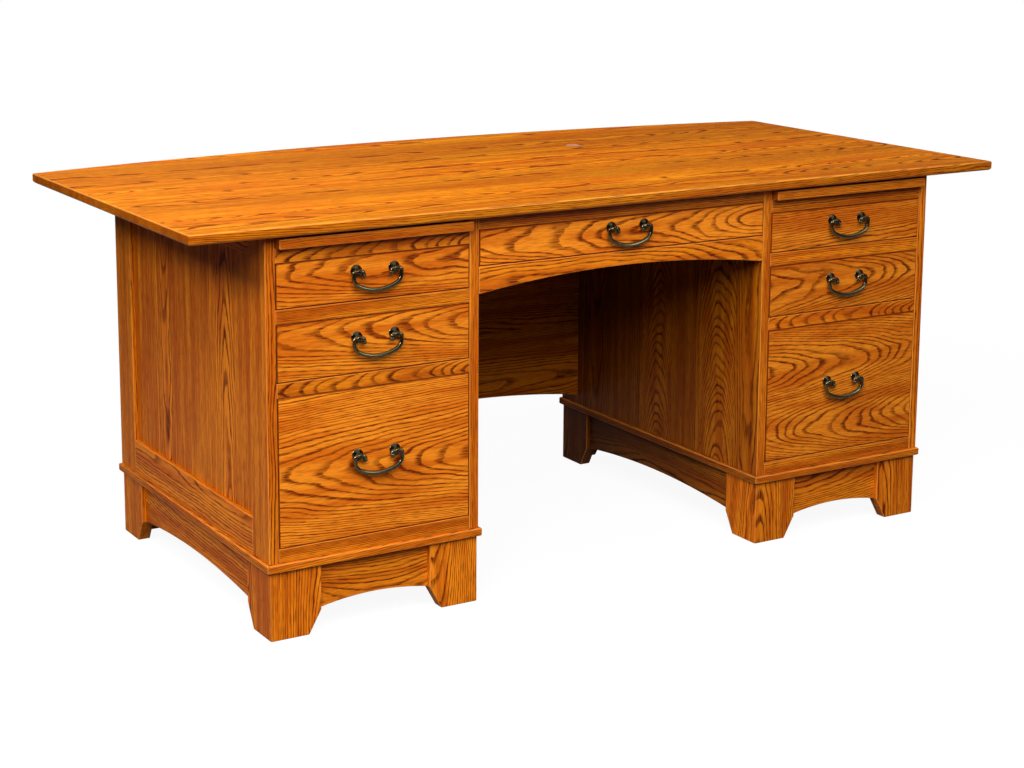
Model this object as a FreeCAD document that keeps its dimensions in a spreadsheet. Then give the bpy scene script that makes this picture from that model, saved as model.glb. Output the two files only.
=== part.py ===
import FreeCAD, Part
import os
import re
import Sketcher

# Executive desk in oak: two drawer pedestals on bracket feet, a centre drawer and an arched apron
# over the kneehole, and one top whose back edge is bowed. Lengths are in millimetres.
# +X runs along the desk, the drawer fronts face -Y, +Z is up and the floor is at Z = 0.
# Pieces are built for the right pedestal, on +X, and mirrored to the left one.

SIZES = {
    # Top
    "top_width": 1828.8,
    "top_depth": 914.4,
    "top_thick": 19.0,
    "back_bow": 94.0,
    "desk_height": 762.0,
    "top_round": 2.5,
    "top_chamfer": 3.5,
    "front_overhang": 31.0,
    "side_overhang": 152.4,
    # Cable grommet in the top
    "grommet_x": 277.0,
    "grommet_setback": 618.0,
    "flange_radius": 22.25,
    "flange_thick": 4.5,
    "sleeve_radius": 19.0,
    "sleeve_wall": 2.5,
    "sleeve_play": 0.15,
    "cap_radius": 18.4,
    "cap_thick": 2.4,
    "cap_play": 0.3,
    "cap_slot_width": 13.0,
    "cap_slot_depth": 12.0,
    # Pedestal case
    "ped_width": 431.8,
    "ped_depth": 738.0,
    "base_height": 145.5,
    "side_thick": 20.0,
    "front_stile": 70.0,
    "rear_stile": 80.0,
    "low_rail": 70.0,
    "high_rail": 44.0,
    "panel_recess": 8.0,
    "panel_thick": 6.5,
    "groove_depth": 8.0,
    "groove_play": 0.5,
    "back_thick": 20.0,
    "back_stile": 60.0,
    # Drawer rails and openings
    "rail_height": 26.5,
    "rail_depth": 60.0,
    "slot_height": 24.5,
    "top_opening": 83.5,
    "middle_opening": 106.0,
    # Plinth, feet and skirts
    "plinth_thick": 15.5,
    "plinth_project": 5.5,
    "foot_width": 101.6,
    "foot_toe": 76.5,
    "foot_thick": 25.4,
    "foot_knee": 45.0,
    "foot_inset": 2.0,
    "skirt_recess": 9.0,
    "front_rise": 11.0,
    "side_rise": 16.0,
    "arch_land": 3.0,
    # Kneehole
    "knee_rail_height": 26.6,
    "knee_rail_thick": 20.0,
    "centre_opening": 69.4,
    "apron_height": 51.5,
    "apron_thick": 20.0,
    "apron_rise": 24.0,
    "modesty_inset": 49.0,
    "modesty_thick": 18.0,
    "modesty_lift": 167.0,
    "modesty_rise": 25.0,
    # Writing boards, their runners and the cleats that hold the top
    "board_thick": 18.0,
    "board_tail": 76.0,
    "board_proud": 18.0,
    "board_nose": 45.0,
    "board_play": 1.2,
    "board_fit": 0.4,
    "stop_width": 60.0,
    "stop_depth": 20.0,
    "stop_thick": 12.0,
    "runner_width": 20.0,
    "runner_height": 22.0,
    "cleat_side": 20.0,
    "cleat_length": 180.0,
    # Drawers
    "front_thick": 20.0,
    "front_gap": 1.6,
    "box_side": 12.7,
    "box_lift": 5.0,
    "box_headroom": 16.5,
    "bottom_thick": 6.0,
    "bottom_raise": 9.0,
    "bottom_groove": 6.0,
    "box_tail": 138.0,
    "file_tail": 88.0,
    "centre_tail": 194.0,
    # Drawer slides
    "slide_space": 12.7,
    "slide_tall": 45.0,
    "centre_slide_tall": 34.0,
    "slide_wall": 1.4,
    "slide_fit": 0.35,
    "slide_lip": 9.2,
    "slide_setback": 3.0,
    "slide_short": 12.0,
    # Bail pulls
    "post_spacing": 76.2,
    "pull_rise": 14.0,
    "rosette_radius": 11.5,
    "rosette_thick": 2.5,
    "collar_radius": 7.5,
    "collar_thick": 3.0,
    "neck_radius": 4.0,
    "head_radius": 5.6,
    "post_reach": 11.0,
    "stud_radius": 2.4,
    "stud_length": 16.0,
    "stud_play": 0.1,
    "pin_radius": 2.0,
    "pin_play": 0.05,
    "bail_radius": 3.2,
    "bail_half": 48.2,
    "bail_drop": 35.5,
    "elbow_radius": 4.0,
    "curl_drop": 3.5,
    "curl_ball": 3.8,
    "corner_radius": 18.0,
    "sweep_radius": 85.0,
    # Length by which every cutting shape runs past what it cuts
    "overrun": 2.0,
}

# Places and sizes that follow from the ones above.
DERIVED = {
    "face": "front_overhang - top_depth / 2",
    "under_top": "desk_height - top_thick",
    "case_height": "under_top - base_height",
    "case_back": "face + ped_depth",
    "case_out": "top_width / 2 - side_overhang",
    "case_in": "case_out - ped_width",
    "ped_mid": "case_out - ped_width / 2",
    "bay_in": "case_in + side_thick",
    "bay_out": "case_out - side_thick",
    "bay_width": "ped_width - 2 * side_thick",
    "slot_floor": "under_top - slot_height",
    "top_head": "slot_floor - rail_height",
    "top_floor": "top_head - top_opening",
    "middle_head": "top_floor - rail_height",
    "middle_floor": "middle_head - middle_opening",
    "file_head": "middle_floor - rail_height",
    "file_floor": "base_height + rail_height",
    "file_opening": "file_head - file_floor",
    "centre_head": "under_top - knee_rail_height",
    "centre_floor": "centre_head - centre_opening",
    "grommet_y": "face + grommet_setback",
    "foot_height": "base_height - plinth_thick",
    "base_in": "case_in + foot_inset",
    "base_out": "case_out - foot_inset",
    "base_front": "face + foot_inset",
    "base_back": "case_back - foot_inset",
    "skirt_thick": "foot_thick - skirt_recess",
    "front_skirt": "base_out - base_in - 2 * foot_width",
    "side_skirt": "base_back - base_front - 2 * foot_width",
    "modesty_setback": "ped_depth - modesty_inset - modesty_thick",
    "box_length": "ped_depth - front_thick - back_thick - box_tail",
    "file_length": "ped_depth - front_thick - back_thick - file_tail",
    "centre_length": "modesty_setback - front_thick - centre_tail",
    "board_length": "ped_depth + board_proud - back_thick - cleat_length - board_tail",
    "board_floor": "slot_floor + board_fit",
    "board_front": "face - board_proud",
    "board_width": "bay_width - 2 * board_play",
    "stage": "slide_wall + slide_fit",
    "rod_end": "bail_half - elbow_radius",
    "corner_x": "bail_half - corner_radius",
    "reach": "sweep_radius - corner_radius",
    "corner_z": "sweep_radius - bail_drop - sqrt(reach * reach - corner_x * corner_x)",
}

doc = FreeCAD.newDocument("executive_desk")
sheet = doc.addObject("Spreadsheet::Sheet", "Sizes")
for row, (size_name, size) in enumerate(SIZES.items(), 1):
    sheet.set(f"A{row}", size_name)
    sheet.set(f"B{row}", str(size))
    sheet.setAlias(f"B{row}", size_name)
doc.recompute()

nodes = {}


def formula(words):
    """Turn words such as 'face + ped_depth' into an expression on the sheet's cells."""
    def cell(match):
        word = match.group(0)
        if word in DERIVED:
            return "(" + formula(DERIVED[word]) + ")"
        return "Sizes." + word if word in SIZES else word
    return re.sub("[a-z_]+", cell, words)


def bind(item, sizes):
    for name, words in sizes.items():
        item.setExpression(name, formula(words))
    return item


def place(item, x, y, z):
    return bind(item, {"Placement.Base.x": x, "Placement.Base.y": y, "Placement.Base.z": z})


def node(name, item):
    """Keep an object as one sub-part, under the name of its file."""
    item.Label = name
    nodes[name] = item
    return item


def box(name, size, corner):
    item = doc.addObject("Part::Box", name)
    bind(item, {"Length": size[0], "Width": size[1], "Height": size[2]})
    return place(item, *corner)


TURNS = {
    "x": FreeCAD.Rotation(FreeCAD.Vector(0, 1, 0), 90),
    "y": FreeCAD.Rotation(FreeCAD.Vector(1, 0, 0), -90),
    "-y": FreeCAD.Rotation(FreeCAD.Vector(1, 0, 0), 90),
    "z": FreeCAD.Rotation(),
}


def rod(name, along, radius, length, start):
    item = doc.addObject("Part::Cylinder", name)
    item.Placement = FreeCAD.Placement(FreeCAD.Vector(), TURNS[along])
    bind(item, {"Radius": radius, "Height": length})
    return place(item, *start)


def cut(name, base, tool):
    item = doc.addObject("Part::Cut", name)
    item.Base = base
    item.Tool = tool
    return item


def fuse(name, shapes):
    item = doc.addObject("Part::MultiFuse", name)
    item.Shapes = shapes
    return item


def group(name, members):
    item = doc.addObject("Part::Compound", name)
    item.Links = members
    return item


def mirrored(item, normal=(1, 0, 0), base=("0", "0", "0")):
    twin = doc.addObject("Part::Mirroring", item.Name + "_twin")
    twin.Source = item
    twin.Normal = FreeCAD.Vector(*normal)
    return bind(twin, {"Base.x": base[0], "Base.y": base[1], "Base.z": base[2]})


def both(name, item):
    """One node that holds a right-hand piece and its left-hand twin."""
    return node(name, group(name + "_pair", [item, mirrored(item)]))


def handed(name, item):
    """A right-hand node and a left-hand node."""
    node("left_" + name, mirrored(item))
    return node("right_" + name, item)


def attach(sketch, body, role):
    plane = next(part for part in body.Origin.OriginFeatures if part.Role == role)
    sketch.AttachmentSupport = [(plane, "")]
    sketch.MapMode = "FlatFace"


def measure(sketch, words, *place_in_sketch):
    """Add a dimension to a sketch, held to a sum of sizes."""
    value = sketch.evalExpression(formula(words))
    index = sketch.addConstraint(Sketcher.Constraint(*place_in_sketch, float(value)))
    sketch.setExpression(f"Constraints[{index}]", formula(words))


def pin(sketch, line, end, corner):
    """Hold one end of a sketch line at the place that two sums of sizes give."""
    for kind, axis, words in zip(("DistanceX", "DistanceY"), (-2, -1), corner):
        if words == "0":
            sketch.addConstraint(Sketcher.Constraint("PointOnObject", line, end, axis))
        else:
            measure(sketch, words, kind, -1, 1, line, end)


def polygon(body, role, corners):
    """A closed sketch through corners, each a pair of sums of sizes."""
    sketch = body.newObject("Sketcher::SketchObject", body.Name + "_outline")
    attach(sketch, body, role)
    count = len(corners)
    ring = Part.makePolygon([FreeCAD.Rotation(FreeCAD.Vector(0, 0, 1), 360 * i / count)
                             .multVec(FreeCAD.Vector(1, 0, 0)) for i in range(count)])
    points = [vertex.Point for vertex in ring.Vertexes]
    for i in range(count):
        sketch.addGeometry(Part.LineSegment(points[i], points[(i + 1) % count]))
    for i in range(count):
        sketch.addConstraint(Sketcher.Constraint("Coincident", i, 2, (i + 1) % count, 1))
    for i, corner in enumerate(corners):
        pin(sketch, i, 1, corner)
    return sketch


def disc(body, radius, centre, height):
    """A circle sketch at a height above the body's own ground plane."""
    sketch = body.newObject("Sketcher::SketchObject", body.Name + "_disc")
    attach(sketch, body, "XY_Plane")
    bind(sketch, {"AttachmentOffset.Base.z": height})
    sketch.addGeometry(Part.Circle(FreeCAD.Vector(1, 1, 0), FreeCAD.Vector(0, 0, 1), 1))
    pin(sketch, 0, 3, centre)
    measure(sketch, radius, "Radius", 0)
    return sketch


def arch(name, along, span, rise, start, length, spring):
    """A round cutter whose arc springs at one height over a span and climbs by a rise."""
    radius = f"(({span}) * ({span}) / 4 + {rise} * {rise}) / (2 * {rise})"
    middle = f"{spring} + {rise} - ({radius})"
    return rod(name, along, radius, length, (*start, middle))


def rim_edges(shape, pick):
    """Names of the edges round a slab's lowest or highest face; pick is min or max."""
    rim = pick(shape.Faces, key=lambda face: face.CenterOfMass.z).OuterWire.Edges
    return [f"Edge{i}" for i, edge in enumerate(shape.Edges, 1)
            if any(edge.isSame(other) for other in rim)]


def desk_top():
    """A slab with straight front and ends, a bowed back and a stepped hole for the grommet."""
    body = doc.addObject("PartDesign::Body", "top_body")
    sketch = body.newObject("Sketcher::SketchObject", "top_outline")
    attach(sketch, body, "XY_Plane")
    half = SIZES["top_width"] / 2
    front = -SIZES["top_depth"] / 2
    corner = -front - SIZES["back_bow"]
    ends = [FreeCAD.Vector(-half, corner, 0), FreeCAD.Vector(-half, front, 0),
            FreeCAD.Vector(half, front, 0), FreeCAD.Vector(half, corner, 0)]
    for start, end in zip(ends, ends[1:]):
        sketch.addGeometry(Part.LineSegment(start, end))
    sketch.addGeometry(Part.Arc(ends[3], FreeCAD.Vector(0, -front, 0), ends[0]))
    for line in range(2):
        sketch.addConstraint(Sketcher.Constraint("Coincident", line, 2, line + 1, 1))
    sketch.addConstraint(Sketcher.Constraint("Coincident", 2, 2, 3, 1))
    sketch.addConstraint(Sketcher.Constraint("Coincident", 3, 2, 0, 1))
    pin(sketch, 0, 1, ("-top_width / 2", "top_depth / 2 - back_bow"))
    pin(sketch, 0, 2, ("-top_width / 2", "-top_depth / 2"))
    pin(sketch, 2, 1, ("top_width / 2", "-top_depth / 2"))
    pin(sketch, 2, 2, ("top_width / 2", "top_depth / 2 - back_bow"))
    bow_radius = "(top_width * top_width / 4 + back_bow * back_bow) / (2 * back_bow)"
    measure(sketch, bow_radius, "Radius", 3)
    slab = body.newObject("PartDesign::Pad", "top_slab")
    slab.Profile = sketch
    bind(slab, {"Length": "top_thick"})
    centre = ("grommet_x", "grommet_y")
    for radius, depth in (("sleeve_radius + sleeve_play", "top_thick"),
                          ("flange_radius + sleeve_play", "flange_thick")):
        hole = body.newObject("PartDesign::Pocket", "top_hole")
        hole.Profile = disc(body, radius, centre, "top_thick")
        bind(hole, {"Length": depth})
    doc.recompute()
    for kind, pick, size in (("Chamfer", min, {"Size": "top_chamfer"}),
                             ("Fillet", max, {"Radius": "top_round"})):
        base = body.Tip
        rim = rim_edges(base.Shape, pick)
        edge = body.newObject("PartDesign::" + kind, "top_" + kind.lower())
        edge.Base = (base, rim)
        bind(edge, size)
        doc.recompute()
    return node("desk_top", place(body, "0", "0", "under_top"))


def grommet():
    """A flanged sleeve let in flush, and a slotted cap that turns in its recess."""
    body = doc.addObject("PartDesign::Body", "sleeve_body")
    ledge = "desk_height - cap_thick"
    recess = "cap_radius + cap_play"
    bore = "sleeve_radius - sleeve_wall"
    shoulder = "desk_height - flange_thick"
    turned = body.newObject("PartDesign::Revolution", "sleeve_turned")
    turned.Profile = polygon(body, "XZ_Plane", [
        (bore, "under_top"), ("sleeve_radius", "under_top"), ("sleeve_radius", shoulder),
        ("flange_radius", shoulder), ("flange_radius", "desk_height"), (recess, "desk_height"),
        (recess, ledge), (bore, ledge)])
    turned.ReferenceAxis = (turned.Profile[0], ["V_Axis"])
    turned.Angle = 360
    node("grommet_liner", place(body, "grommet_x", "grommet_y", "0"))
    blank = rod("cap_blank", "z", "cap_radius", "cap_thick", ("grommet_x", "grommet_y", ledge))
    slot = box("cap_slot", ("cap_slot_depth + overrun", "cap_slot_width", "cap_thick + 2 * overrun"),
               ("grommet_x + cap_radius - cap_slot_depth", "grommet_y - cap_slot_width / 2",
                ledge + " - overrun"))
    node("grommet_cap", cut("cap_slotted", blank, slot))


def framed_panel(name, swap, run, length, stiles, face, thick, panel):
    """Two stiles and two tongued rails, grooved for a flat panel that floats between them.

    Pieces are written as run, through and up; swap puts the run along Y instead of X."""
    def plank(part, size, corner):
        order = (1, 0, 2) if swap else (0, 1, 2)
        return box(f"{name}_{part}", [size[i] for i in order], [corner[i] for i in order])

    near, far = stiles
    inner = f"({length}) - {near} - {far}"
    inner_at = f"{run} + {near}"
    far_at = f"{run} + ({length}) - {far}"
    rail_tops = {"low": "base_height", "high": "under_top - high_rail"}
    groove_at = {"low": "base_height + low_rail - groove_depth", "high": "under_top - high_rail"}
    tongue_run = f"{inner} + 2 * groove_depth"
    members = []
    for part, wide, at, slot_at in (("near_stile", near, run, inner_at + " - groove_depth"),
                                    ("far_stile", far, far_at, far_at)):
        stile = plank(part, (wide, thick, "case_height"), (at, face, "base_height"))
        slot = plank(part + "_groove", ("groove_depth", "panel_thick", "case_height"),
                     (slot_at, panel, "base_height"))
        members.append(cut(f"{name}_{part}_grooved", stile, slot))
    for part, floor in rail_tops.items():
        tall = part + "_rail"
        rail = plank(tall, (inner, thick, tall), (inner_at, face, floor))
        tongue = plank(tall + "_tongue", (tongue_run, "panel_thick", tall),
                       (inner_at + " - groove_depth", panel, floor))
        slot = plank(tall + "_groove", (tongue_run, "panel_thick", "groove_depth"),
                     (inner_at + " - groove_depth", panel, groove_at[part]))
        tongued = fuse(f"{name}_{tall}_tongued", [rail, tongue])
        members.append(cut(f"{name}_{tall}_grooved", tongued, slot))
    margin = "groove_depth - groove_play"
    sheet_panel = plank("panel", (f"{inner} + 2 * ({margin})", "panel_thick",
                                  f"case_height - low_rail - high_rail + 2 * ({margin})"),
                        (f"{inner_at} - ({margin})", panel, f"base_height + low_rail - ({margin})"))
    return members, sheet_panel


def pedestal_case():
    frame, panel = framed_panel("side", True, "face", "ped_depth", ("front_stile", "rear_stile"),
                                "bay_out", "side_thick", "case_out - panel_recess - panel_thick")
    handed("side_frame", group("side_frame_members", frame))
    both("side_panels", panel)
    frame, panel = framed_panel("back", False, "bay_in", "bay_width", ("back_stile", "back_stile"),
                                "case_back - back_thick", "back_thick",
                                "case_back - panel_recess - panel_thick")
    handed("pedestal_back", group("back_members", frame + [panel]))
    handed("kneehole_side", box("knee_side", ("side_thick", "ped_depth", "case_height"),
                                ("case_in", "face", "base_height")))
    rails = [box("drawer_rail", ("bay_width", "rail_depth", "rail_height"), ("bay_in", "face", floor))
             for floor in ("base_height", "file_head", "middle_head", "top_head")]
    handed("drawer_rails", group("drawer_rail_set", rails))
    both("pedestal_plinths", box(
        "plinth", ("ped_width + 2 * plinth_project", "ped_depth + 2 * plinth_project", "plinth_thick"),
        ("case_in - plinth_project", "face - plinth_project", "base_height - plinth_thick")))
    runner = ("runner_width", "ped_depth - rail_depth - back_thick", "runner_height")
    both("board_runners", group("runner_set", [
        box("board_runner", runner, (x, "face + rail_depth", "slot_floor - runner_height"))
        for x in ("bay_in", "bay_out - runner_width")]))
    cleat = ("cleat_side", "cleat_length", "cleat_side")
    both("top_cleats", group("cleat_set", [
        box("top_cleat", cleat, (x, "case_back - back_thick - cleat_length", "under_top - cleat_side"))
        for x in ("bay_in", "bay_out - cleat_side")]))


def bracket_foot():
    """One L-shaped foot of two mitred boards, each narrowing to its toe, at the front inner corner."""
    body = doc.addObject("PartDesign::Body", "foot_body")
    profile = [("0", "0"), ("foot_toe", "0"), ("foot_width", "foot_knee"),
               ("foot_width", "foot_height"), ("0", "foot_height")]
    for role, turned in (("XZ_Plane", True), ("YZ_Plane", False)):
        board = body.newObject("PartDesign::Pad", "foot_board")
        board.Profile = polygon(body, role, profile)
        board.Reversed = turned
        bind(board, {"Length": "foot_thick"})
    return place(body, "base_in", "base_front", "0")


def pedestal_base():
    foot = bracket_foot()
    across = ("ped_mid", "0", "0")
    along = ("0", "face + ped_depth / 2", "0")
    front = [foot, mirrored(foot, (1, 0, 0), across)]
    rear = [mirrored(item, (0, 1, 0), along) for item in front]
    both("bracket_feet", group("foot_set", front + rear))
    tall = "foot_height - foot_knee"
    front_arch = arch("front_arch", "y", "front_skirt - 2 * arch_land", "front_rise",
                      ("ped_mid", "face"), "ped_depth", "foot_knee")
    side_arch = arch("side_arch", "x", "side_skirt - 2 * arch_land", "side_rise",
                     ("case_in", "face + ped_depth / 2"), "ped_width", "foot_knee")
    skirts = []
    for y in ("base_front + skirt_recess", "base_back - foot_thick"):
        board = box("front_skirt_board", ("front_skirt", "skirt_thick", tall),
                    ("base_in + foot_width", y, "foot_knee"))
        skirts.append(cut("front_skirt_arched", board, front_arch))
    for x in ("base_in + skirt_recess", "base_out - foot_thick"):
        board = box("side_skirt_board", ("skirt_thick", "side_skirt", tall),
                    (x, "base_front + foot_width", "foot_knee"))
        skirts.append(cut("side_skirt_arched", board, side_arch))
    both("base_skirts", group("skirt_set", skirts))


def kneehole():
    wide = "2 * case_in"
    span = "2 * case_in - 2 * arch_land"
    node("kneehole_rail", box("knee_rail", (wide, "knee_rail_thick", "knee_rail_height"),
                              ("-case_in", "face", "centre_head")))
    spring = "centre_floor - apron_height"
    board = box("apron_board", (wide, "apron_thick", "apron_height"), ("-case_in", "face", spring))
    hollow = arch("apron_arch", "y", span, "apron_rise", ("0", "face - overrun"),
                  "apron_thick + 2 * overrun", spring)
    node("kneehole_apron", cut("apron_arched", board, hollow))
    board = box("modesty_board", (wide, "modesty_thick", "under_top - modesty_lift"),
                ("-case_in", "face + modesty_setback", "modesty_lift"))
    hollow = arch("modesty_arch", "y", span, "modesty_rise", ("0", "face + modesty_setback - overrun"),
                  "modesty_thick + 2 * overrun", "modesty_lift")
    node("modesty_panel", cut("modesty_arched", board, hollow))


def writing_board():
    """A leaf with a thick front nose, and a stop under its tail that meets the upper drawer rail."""
    low = "bay_in + board_play"
    tail = "board_front + board_length"
    leaf = box("board_leaf", ("board_width", "board_length - board_nose", "board_thick"),
               (low, "board_front + board_nose", "board_floor"))
    nose = box("board_nose_strip", ("board_width", "board_nose", "board_thick"),
               (low, "board_front", "board_floor"))
    stop = box("board_stop", ("stop_width", "stop_depth", "stop_thick"),
               ("ped_mid - stop_width / 2", f"{tail} - stop_depth", "board_floor - stop_thick"))
    handed("writing_board", group("board_set", [leaf, nose, stop]))


def channel(name, web_low, low, deep, tall, length, middle):
    """A C-shaped slide member whose web is on its low-X or its high-X side."""
    start = "face + front_thick + slide_setback"
    outer = box(name, (deep, length, tall), (low, start, f"{middle} - ({tall}) / 2"))
    hollow_at = f"{low} + slide_wall" if web_low else f"{low} - overrun"
    hollow = box(name + "_hollow", (f"{deep} - slide_wall + overrun", f"{length} + 2 * overrun",
                                    f"{tall} - 2 * slide_wall"),
                 (hollow_at, f"{start} - overrun", f"{middle} - ({tall}) / 2 + slide_wall"))
    return cut(name + "_formed", outer, hollow)


def slide_pair(name, low, width, inset, deep, tall, length, middle, web_out):
    """Two members facing each other across an opening, each inset from its wall."""
    near = channel(name + "_near", web_out, f"{low} + {inset}", deep, tall, length, middle)
    far = channel(name + "_far", not web_out, f"{low} + {width} - ({inset}) - ({deep})", deep, tall,
                  length, middle)
    return [near, far]


def pull_post():
    """A turned post: stud, rosette, collar, neck and a round head bored for the bail's pin."""
    reach = "post_reach - sqrt(head_radius * head_radius - neck_radius * neck_radius)"
    x = "post_spacing / 2"
    head = doc.addObject("Part::Sphere", "post_head")
    bind(head, {"Radius": "head_radius"})
    place(head, x, "-post_reach", "0")
    turned = fuse("post_turned", [
        rod("post_stud", "y", "stud_radius", "stud_length", (x, "0", "0")),
        rod("post_rosette", "-y", "rosette_radius", "rosette_thick", (x, "0", "0")),
        rod("post_collar", "-y", "collar_radius", "collar_thick", (x, "-rosette_thick", "0")),
        rod("post_neck", "-y", "neck_radius", reach, (x, "0", "0")), head])
    bore = rod("post_bore", "x", "pin_radius + pin_play", "2 * (head_radius + overrun)",
               (x + " - head_radius - overrun", "-post_reach", "0"))
    return cut("post_bored", turned, bore)


def ring_piece(name, radius, turn, angle, x, z):
    """A stretch of bent round rod, in the plane of the bail."""
    item = doc.addObject("Part::Torus", name)
    item.Placement = FreeCAD.Placement(FreeCAD.Vector(), turn)
    bind(item, {"Radius1": radius, "Radius2": "bail_radius", "Angle3": angle})
    return place(item, x, "-post_reach", z)


def bail():
    """A bent rod: a pin that ends in a curl and a ball inside the post, and outside it an elbow,
    a short arm, a corner and half of the long low sweep; then all that mirrored."""
    forward = FreeCAD.Vector(0, -1, 0)
    sideways = FreeCAD.Vector(1, 0, 0)
    up = FreeCAD.Vector(0, 0, 1)
    over = FreeCAD.Rotation(sideways, up, forward, "ZXY")
    under = FreeCAD.Rotation(sideways, -up, -forward, "ZXY")
    rising = FreeCAD.Rotation(-up, sideways, forward, "ZXY")
    curling = FreeCAD.Rotation(up, -sideways, forward, "ZXY")
    lean = "asin(corner_x / reach)"
    curl_end = "post_spacing - bail_half"
    curl_foot = "-elbow_radius - curl_drop"
    ball = doc.addObject("Part::Sphere", "curl_end_ball")
    bind(ball, {"Radius": "curl_ball"})
    place(ball, curl_end, "-post_reach", curl_foot)
    half = fuse("bail_half_rod", [
        ball,
        rod("curl_stem", "z", "bail_radius", "curl_drop", (curl_end, "-post_reach", curl_foot)),
        ring_piece("curl_elbow", "elbow_radius", curling, "90 deg", "post_spacing - rod_end",
                   "-elbow_radius"),
        rod("bail_pin", "x", "pin_radius", "2 * rod_end - post_spacing",
            ("post_spacing - rod_end", "-post_reach", "0")),
        ring_piece("bail_elbow", "elbow_radius", over, "90 deg", "rod_end", "-elbow_radius"),
        rod("bail_arm", "z", "bail_radius", "-elbow_radius - corner_z",
            ("bail_half", "-post_reach", "corner_z")),
        ring_piece("bail_corner", "corner_radius", under, f"90 deg - {lean}", "corner_x", "corner_z"),
        ring_piece("bail_sweep", "sweep_radius", rising, lean, "0", "sweep_radius - bail_drop")])
    return fuse("bail_rod", [half, mirrored(half)])


post = pull_post()
posts = [post, mirrored(post)]
bail_rod = bail()
channels = []


def drawer(name, low, width, floor, opening, length, tall, staged=False):
    """A flush front on a grooved box, its slides and its pull. Returns the nodes by name."""
    middle_x = f"{low} + ({width}) / 2"
    pull_z = f"{floor} + ({opening}) / 2 + pull_rise"
    front_size = (f"{width} - 2 * front_gap", "front_thick", f"{opening} - 2 * front_gap")
    front = box(name + "_front_board", front_size, (f"{low} + front_gap", "face", f"{floor} + front_gap"))
    bores = [rod(name + "_stud_bore", "y", "stud_radius + stud_play", "front_thick + 2 * overrun",
                 (f"{middle_x} {sign} post_spacing / 2", "face - overrun", pull_z)) for sign in "+-"]
    pieces = {"drawer_front": cut(name + "_front_bored", front, group(name + "_stud_bores", bores))}

    wide = f"{width} - 2 * slide_space"
    high = f"{opening} - box_lift - box_headroom"
    x = f"{low} + slide_space"
    y = "face + front_thick"
    z = f"{floor} + box_lift"
    inner_x = f"{x} + box_side"
    bottom = box(name + "_bottom", (f"{wide} - 2 * (box_side - bottom_groove)",
                                    f"{length} - 2 * (box_side - bottom_groove)", "bottom_thick"),
                 (f"{inner_x} - bottom_groove", f"{y} + box_side - bottom_groove", f"{z} + bottom_raise"))
    side = ("box_side", length, high)
    end = (f"{wide} - 2 * box_side", "box_side", high)
    walls = [box(name + "_near_side", side, (x, y, z)),
             box(name + "_far_side", side, (f"{x} + {wide} - box_side", y, z)),
             box(name + "_inner_front", end, (inner_x, y, z)),
             box(name + "_box_back", end, (inner_x, f"{y} + {length} - box_side", z))]
    grooved = [cut(wall.Name + "_grooved", wall, bottom) for wall in walls]
    pieces["drawer_box"] = group(name + "_box", grooved + [bottom])

    run = f"{length} - slide_short"
    middle_z = f"{z} + ({high}) / 2"
    fixed = slide_pair(name + "_channel", low, width, "0", "slide_lip", tall, run, middle_z, True)
    channels.append((name, group(name + "_channels", fixed)))
    inset = "stage"
    shrink = "2 * stage"
    if staged:
        middles = slide_pair(name + "_middle", low, width, "stage", "slide_space - 2 * stage",
                             f"{tall} - 2 * stage", run, middle_z, True)
        pieces["slide_middles"] = group(name + "_middles", middles)
        inset = "2 * stage"
        shrink = "4 * stage"
    members = slide_pair(name + "_runner", low, width, inset, f"slide_space - {inset}",
                         f"{tall} - {shrink}", run, middle_z, False)
    pieces["drawer_runners"] = group(name + "_runners", members)

    pieces["pull_posts"] = place(group(name + "_posts", posts), middle_x, "face", pull_z)
    pieces["pull_bail"] = place(group(name + "_bail", [bail_rod]), middle_x, "face", pull_z)
    return pieces


def drawers():
    rows = (("top", "top_floor", "top_opening", "box_length", False),
            ("middle", "middle_floor", "middle_opening", "box_length", False),
            ("file", "file_floor", "file_opening", "file_length", True))
    for row_name, floor, opening, length, staged in rows:
        pieces = drawer(row_name, "bay_in", "bay_width", floor, opening, length, "slide_tall", staged)
        for piece, item in pieces.items():
            handed(f"{row_name}_{piece}", item)
    pieces = drawer("centre", "-case_in", "2 * case_in", "centre_floor", "centre_opening",
                    "centre_length", "centre_slide_tall")
    for piece, item in pieces.items():
        node(f"centre_{piece}", item)
    pairs = [item for name, item in channels if name != "centre"]
    twins = [mirrored(item) for item in pairs]
    centre = [item for name, item in channels if name == "centre"]
    node("slide_channels", group("channel_set", pairs + twins + centre))


desk_top()
grommet()
pedestal_case()
pedestal_base()
kneehole()
writing_board()
drawers()
doc.recompute()

faulty = [item.Name for item in doc.Objects if {"Invalid", "Error"} & set(item.State)]
faulty += [name for name, item in nodes.items() if item.Shape.isNull() or not item.Shape.isValid()]
if faulty:
    raise RuntimeError("failed pieces: " + ", ".join(faulty))

os.makedirs("parts", exist_ok=True)
for node_name, item in nodes.items():
    item.Shape.exportStep(f"parts/{node_name}.step")
print(len(nodes), "nodes,", sum(len(item.Shape.Solids) for item in nodes.values()), "solids")
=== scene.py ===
import math
import random

import bpy
from mathutils import Matrix, Vector


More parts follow.
